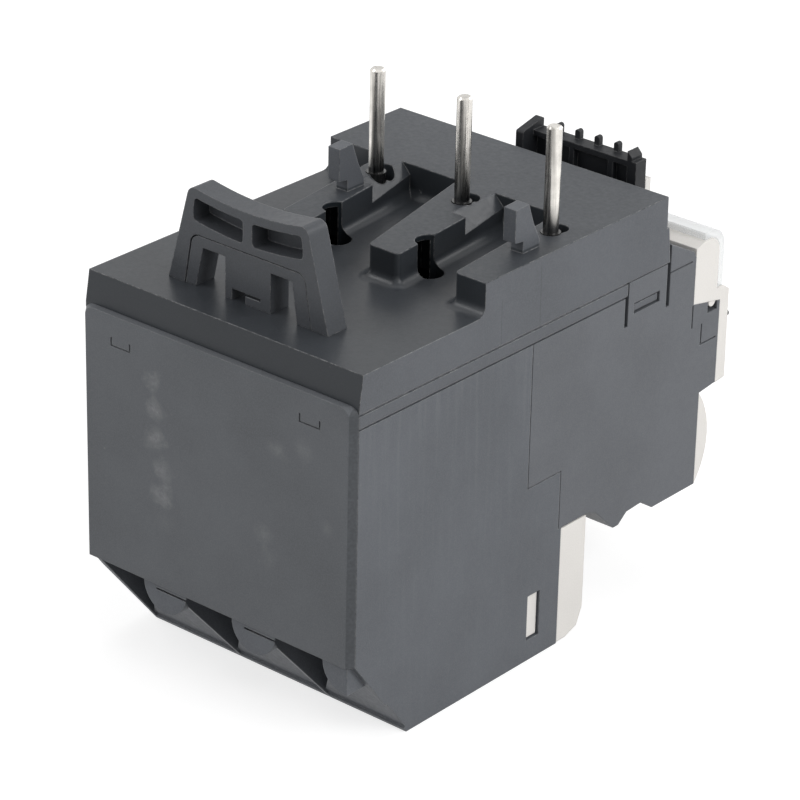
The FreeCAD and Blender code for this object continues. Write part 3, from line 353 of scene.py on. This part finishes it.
def patches(graph, marks):
    """Soft round patches on the rear panel with a ragged outline."""
    ragged = 0.45
    total = 0.0
    wobble = graph.noise(patch_scale, detail=4.0, roughness=0.65)
    for x, z, radius, strength in marks:
        gap = graph.vector_math("DISTANCE", graph.coordinates, at(x, 0, z))["Value"]
        shift = graph.ramp(wobble, 0.3, 0.7, -radius * ragged * MM, radius * ragged * MM)
        patch = graph.ramp(graph.math("ADD", gap, shift), radius * MM, 0.0, 0.0, strength)
        total = graph.math("ADD", total, patch)
    return total


# Materials


plastic_gloss = 0.3


def flecks_of_dust(graph):
    """Small pale flecks that gather in places."""
    cells = graph.add("ShaderNodeTexVoronoi", {"Vector": graph.coordinates, "Scale": fleck_scale})
    fleck = graph.ramp(cells.outputs["Distance"], 0.09, 0.03)
    groups = graph.noise(fleck_group_scale, detail=2.0, roughness=0.5)
    return graph.times(fleck, graph.ramp(groups, 0.58, 0.7))


def moulded(name, colour, roughness, grain=0.35, dust=0.1, edge_wear_and_highlight=0.25, radius=0.22, marks=(),
            shade_and_marks=(), pale=(), polished=None, mottle=1.0):
    """Injection-moulded plastic: spark-eroded grain, faint cloudiness, pale edges partly from rubbing
    and partly a painted highlight, dust, and darker or paler zones given by the call, some of them
    painted shade and highlight.
    """
    graph = Surface(name)
    cloudy = 0.1 * mottle
    speckled = 0.7 * mottle
    speckle_share = 0.35
    polish = 0.72
    grain_height = 0.04 * MM
    rounded = soft_edges(graph, radius * MM)
    fine = graph.noise(grain_scale, detail=2.0)
    medium = graph.noise(wear_scale)
    broad = graph.noise(cloud_scale)
    base = graph.blend(graph.ramp(broad, 0.35, 0.65), scaled(colour, 1 - cloudy),
                       scaled(colour, 1 + cloudy))
    base = graph.blend(graph.ramp(fine, 0.4, 0.75, 0.0, speckle_share), base,
                       scaled(colour, 1 + speckled))
    # Darkening in the zones given: mostly painted shade, some real dark marks
    for zone, share in shade_and_marks:
        base = graph.blend(graph.times(zone(graph), share), base, painted_shade_and_mark_dark)
    # Paler zones given: real drag lines, and painted highlights on the fin faces
    for zone, share in pale:
        base = graph.blend(graph.times(zone(graph), share), base, pale_grey)
    if dust:
        base = graph.blend(graph.times(flecks_of_dust(graph), dust), base, dust_grey)
    # Pale edges: partly rubbing, partly a painted highlight along the edges
    if edge_wear_and_highlight:
        rubbed_and_highlit_edges = graph.times(edge_mask(graph, rounded), graph.ramp(medium, 0.35, 0.7))
        base = graph.blend(graph.times(rubbed_and_highlit_edges, edge_wear_and_highlight), base, edge_wear_and_highlight_grey)
    if marks:
        rubbed = graph.times(patches(graph, marks), graph.ramp(medium, 0.3, 0.75, 0.2, 1.0))
        base = graph.blend(rubbed, base, scuff_grey)
    rough = graph.ramp(medium, 0.3, 0.7, roughness - 0.06, roughness + 0.08)
    if polished:
        rough = graph.times(rough, graph.ramp(polished(graph), 0.0, 1.0, 1.0, polish))
    graph.put("Base Color", base)
    graph.put("Roughness", rough)
    graph.put("Specular IOR Level", plastic_gloss)
    graph.bump(fine, grain, grain_height, rounded)
    return graph.material


def metal(name, colour, roughness, reflection_bands=0.3, root=None):
    """Drawn or plated metal with fine lines and slight tarnish; painted dark reflections in long
    bands and where it is seen edge on, and darker near its root as a painted reflection of the dark
    deck.
    """
    graph = Surface(name)
    drawn = (1.0, 1.0, 0.04)
    tarnished = scaled(colour, 0.72)
    # Dark for the painted reflections
    dark = scaled(colour, 0.22)
    edge_on_reflection_share = 0.75
    line_strength = 0.25
    line_height = 0.02 * MM
    lines = graph.noise(drawn_line_scale, stretch=drawn)
    broad = graph.noise(streak_scale, detail=2.0, roughness=0.5, stretch=drawn)
    stain = graph.noise(stain_scale)
    base = graph.blend(graph.ramp(stain, 0.35, 0.7), colour, tarnished)
    # Painted dark reflections: long bands along the metal, and where the surface is seen edge on
    reflection_band = graph.ramp(broad, 0.52, 0.66, 0.0, reflection_bands)
    edge_on_reflection = graph.ramp(graph.facing_away(0.5), 0.55, 0.95, 0.0, edge_on_reflection_share)
    base = graph.blend(graph.math("MAXIMUM", reflection_band, edge_on_reflection), base, dark)
    # Painted reflection of the dark deck near the root
    if root:
        near_root = graph.ramp(graph.place("Z"), root * MM, (root + pin_root_fade) * MM, 1.0, 0.0)
        base = graph.blend(near_root, base, root_reflection_grey)
    graph.put("Base Color", base)
    graph.put("Metallic", 1.0)
    graph.put("Roughness", graph.ramp(lines, 0.3, 0.7, roughness - 0.08, roughness + 0.12))
    graph.bump(lines, line_strength, line_height)
    return graph.material


def clear(name, colour):
    """Thin clear moulding: mostly see-through, milky at its edges, with a soft gloss."""
    graph = Surface(name)
    face_opacity = 0.16
    edge_opacity = 0.75
    haze = graph.noise(haze_scale)
    graph.put("Base Color", colour)
    graph.put("Roughness", graph.ramp(haze, 0.3, 0.7, 0.12, 0.22))
    graph.put("Alpha", graph.ramp(graph.facing_away(0.35), 0.0, 0.9, face_opacity, edge_opacity))
    return graph.material


clean = {"dust": 0, "edge_wear_and_highlight": 0}
# Darkening on the cap: painted shade on the low deck and its channels, extra on the upright walls, on
# the raised deck and deep in the bores; the witness lines are real mould marks
cap_shade_and_marks = [(low_deck, 0.66), (upright_walls, 0.4), (raised_deck, 0.64), (bores, 0.93),
              (witness_lines, 0.3)]
finishes = {
    "shell": moulded("shell_plastic", (0.097, 0.104, 0.116, 1.0), 0.5, edge_wear_and_highlight=0.5,
                     pale=[(drag_lines, 0.06), (fin_faces, 0.5)]),
    "panel": moulded("panel_plastic", (0.098, 0.104, 0.113, 1.0), 0.5, marks=scuffs,
                     shade_and_marks=[(panel_end, 0.45)]),
    "cap": moulded("cap_plastic", (0.088, 0.094, 0.105, 1.0), 0.45, grain=0.2, edge_wear_and_highlight=0.7,
                   shade_and_marks=cap_shade_and_marks, polished=low_deck),
    "module": moulded("module_plastic", (0.103, 0.109, 0.12, 1.0), 0.48),
    "hook": moulded("hook_plastic", (0.055, 0.059, 0.066, 1.0), 0.42, grain=0.15, edge_wear_and_highlight=0.5),
    "comb": moulded("comb_plastic", (0.009, 0.01, 0.012, 1.0), 0.5, grain=0.15),
    "light_plastic": moulded("light_plastic", (0.82, 0.795, 0.76, 1.0), 0.45, grain=0.12,
                             mottle=0.25, shade_and_marks=[(peg, 0.93)], **clean),
    "dial_plastic": moulded("dial_plastic", (0.82, 0.82, 0.8, 1.0), 0.4, grain=0.1, mottle=0.25,
                            **clean),
    "white_plastic": moulded("white_plastic", (0.8, 0.8, 0.77, 1.0), 0.45, grain=0.1, mottle=0.25,
                             **clean),
    "blue_plastic": moulded("blue_plastic", (0.03, 0.12, 0.45, 1.0), 0.35, grain=0.1, **clean),
    "red_plastic": moulded("red_plastic", (0.55, 0.03, 0.025, 1.0), 0.35, grain=0.1, **clean),
    "orange_plastic": moulded("orange_plastic", (0.8, 0.28, 0.03, 1.0), 0.4, grain=0.1, **clean),
    "ink": moulded("ink", (0.02, 0.02, 0.022, 1.0), 0.6, grain=0.1, radius=0.02, **clean),
    "clear_plastic": clear("clear_plastic", (0.84, 0.86, 0.87, 1.0)),
    "tinned_copper": metal("tinned_copper", (0.84, 0.81, 0.76, 1.0), 0.22, reflection_bands=0.75,
                           root=pin_root),
    "copper": metal("copper", (0.75, 0.42, 0.24, 1.0), 0.3),
    "bimetal": metal("bimetal", (0.55, 0.53, 0.49, 1.0), 0.35),
    "heater_alloy": metal("heater_alloy", (0.42, 0.39, 0.35, 1.0), 0.4),
    "zinc_steel": metal("zinc_steel", (0.66, 0.67, 0.68, 1.0), 0.32),
    "spring_steel": metal("spring_steel", (0.55, 0.55, 0.56, 1.0), 0.25),
}

node_slots = {row["node"]: row["material_slot"] for row in frame["record"]["subparts"]}
for node_name, piece in nodes.items():
    piece.data.materials.clear()
    piece.data.materials.append(finishes[node_slots[node_name]])


# Print on the dial and beside it

ink_depth = 0.02 * MM
numeral_size = 1.05 * MM
numeral_radius = 2.05 * MM
first_number = 9
numeral_angles = (-110, -62, -22, 22, 62, 110)
arrow_length = 1.1 * MM
arrow_width = 0.9 * MM
arrow_gap = 0.4 * MM
dial_to_face = 0.1 * MM


def printed(name, data, body, place, turn):
    """A thin print that faces the front, turned about its own middle."""
    piece = bpy.data.objects.new(name, data)
    data.materials.append(finishes["ink"])
    piece.matrix_world = (Matrix.Translation(place) @ Matrix.Rotation(turn, 4, "Y")
                          @ Matrix.Rotation(math.radians(90), 4, "X"))
    bpy.context.scene.collection.objects.link(piece)
    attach(piece, body)


def numeral(name, number):
    curve = bpy.data.curves.new(name, "FONT")
    curve.body = str(number)
    curve.size = numeral_size
    curve.extrude = ink_depth / 2
    curve.align_x = "CENTER"
    curve.align_y = "CENTER"
    return curve


def arrow(name, length, width):
    """A thin triangle that points along its own +Y."""
    corners = [(-width / 2, -length / 2), (width / 2, -length / 2), (0, length / 2)]
    points = [(x, y, z) for z in (-ink_depth / 2, ink_depth / 2) for x, y in corners]
    sides = [(i, (i + 1) % 3, (i + 1) % 3 + 3, i + 3) for i in range(3)]
    mesh = bpy.data.meshes.new(name)
    mesh.from_pydata(points, [], [(2, 1, 0), (3, 4, 5)] + sides)
    return mesh


dial_low, dial_high = (Vector(corner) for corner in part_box("setting_dial"))
dial_middle = (dial_low + dial_high) / 2
dial_radius = (dial_high.x - dial_low.x) / 2
dial_front = Vector((dial_middle.x, dial_low.y - ink_depth / 2, dial_middle.z))
for order, degrees in enumerate(numeral_angles):
    turn = math.radians(degrees)
    radial = Vector((math.sin(turn), 0, math.cos(turn)))
    title = f"dial_number_{order + 1}"
    printed(title, numeral(title, first_number + order), "dial",
            dial_front + radial * numeral_radius, turn)
arrow_place = dial_front - Vector((dial_radius + arrow_length / 2 + arrow_gap, dial_to_face, 0))
printed("dial_arrow", arrow("dial_arrow", arrow_length, arrow_width), "base", arrow_place,
        math.radians(90))


# Stage, light and camera, in metres, watts and degrees, with the lens and sensor in millimetres

floor_reach = 3.0
floor_colour = grey(0.5)
floor_glow = 0.7
white = grey(1.0)
ambient = 0.25
lit_point = (0, 0, 0.035)
camera_place = Vector((-278.0, 335.12, 240.84)) * MM
camera_angles = (64.019, -1.155, -139.516)
camera_lens = 168.2
camera_sensor = 36.0
camera_near = 0.01


def seen_directly(graph):
    """1 for what the camera sees straight on, in gloss or through glass, 0 for light on the part."""
    path = graph.add("ShaderNodeLightPath").outputs
    mirrored = graph.math("MAXIMUM", path["Is Glossy Ray"], path["Is Transmission Ray"])
    return graph.math("MAXIMUM", path["Is Camera Ray"], mirrored)


def pale_floor():
    """A floor that reads white to the camera, to gloss and through glass, and keeps a shadow."""
    material = bpy.data.materials.new("pale_floor")
    graph = Graph(material)
    diffuse = graph.add("ShaderNodeBsdfDiffuse", {"Color": floor_colour})
    strength = graph.times(seen_directly(graph), floor_glow)
    glow = graph.add("ShaderNodeEmission", {"Color": white, "Strength": strength})
    both = graph.add("ShaderNodeAddShader", {0: diffuse.outputs[0], 1: glow.outputs[0]})
    graph.feed(graph.tree.nodes["Material Output"].inputs["Surface"], both.outputs[0])
    return material


def floor(reach):
    corners = [(-reach, -reach, 0), (reach, -reach, 0), (reach, reach, 0), (-reach, reach, 0)]
    mesh = bpy.data.meshes.new("floor")
    mesh.from_pydata(corners, [], [(0, 1, 2, 3)])
    mesh.materials.append(pale_floor())
    piece = bpy.data.objects.new("floor", mesh)
    bpy.context.scene.collection.objects.link(piece)


def white_world():
    """A world that reads white and lights the part at the ambient level."""
    world = bpy.data.worlds.new("studio")
    graph = Graph(world)
    background = graph.tree.nodes["Background"]
    strength = graph.ramp(seen_directly(graph), 0.0, 1.0, ambient, 1.0)
    graph.feed(background.inputs["Strength"], strength)
    graph.feed(background.inputs["Color"], white)
    bpy.context.scene.world = world


def softbox(name, place, size, watts):
    light = bpy.data.lights.new(name, "AREA")
    light.shape = "RECTANGLE"
    light.size, light.size_y = size
    light.energy = watts
    lamp = bpy.data.objects.new(name, light)
    lamp.location = place
    lamp.rotation_mode = "QUATERNION"
    lamp.rotation_quaternion = (Vector(place) - Vector(lit_point)).to_track_quat("Z", "Y")
    bpy.context.scene.collection.objects.link(lamp)


def photo_camera():
    """The camera as it was fitted to points of the photograph."""
    data = bpy.data.cameras.new("camera")
    data.lens = camera_lens
    data.sensor_width = camera_sensor
    data.clip_start = camera_near
    camera = bpy.data.objects.new("camera", data)
    camera.location = camera_place
    camera.rotation_euler = [math.radians(angle) for angle in camera_angles]
    bpy.context.scene.collection.objects.link(camera)
    bpy.context.scene.camera = camera


floor(floor_reach)
white_world()
softbox("key", place=(-0.5, 0.0, 0.3), size=(0.4, 0.4), watts=1.9)
softbox("rear_fill", place=(0.15, 0.55, 0.3), size=(0.5, 0.4), watts=1.0)
softbox("overhead", place=(0.1, -0.1, 0.6), size=(0.5, 0.5), watts=0.7)
softbox("front_fill", place=(0.0, -0.65, 0.1), size=(0.4, 0.2), watts=1.3)
softbox("rear_glint", place=(0.36, 0.3, 0.47), size=(0.2, 0.2), watts=0.75)
softbox("front_glint", place=(-0.3, -0.43, 0.4), size=(0.15, 0.15), watts=0.55)
photo_camera()
bpy.context.scene.view_settings.view_transform = "Standard"
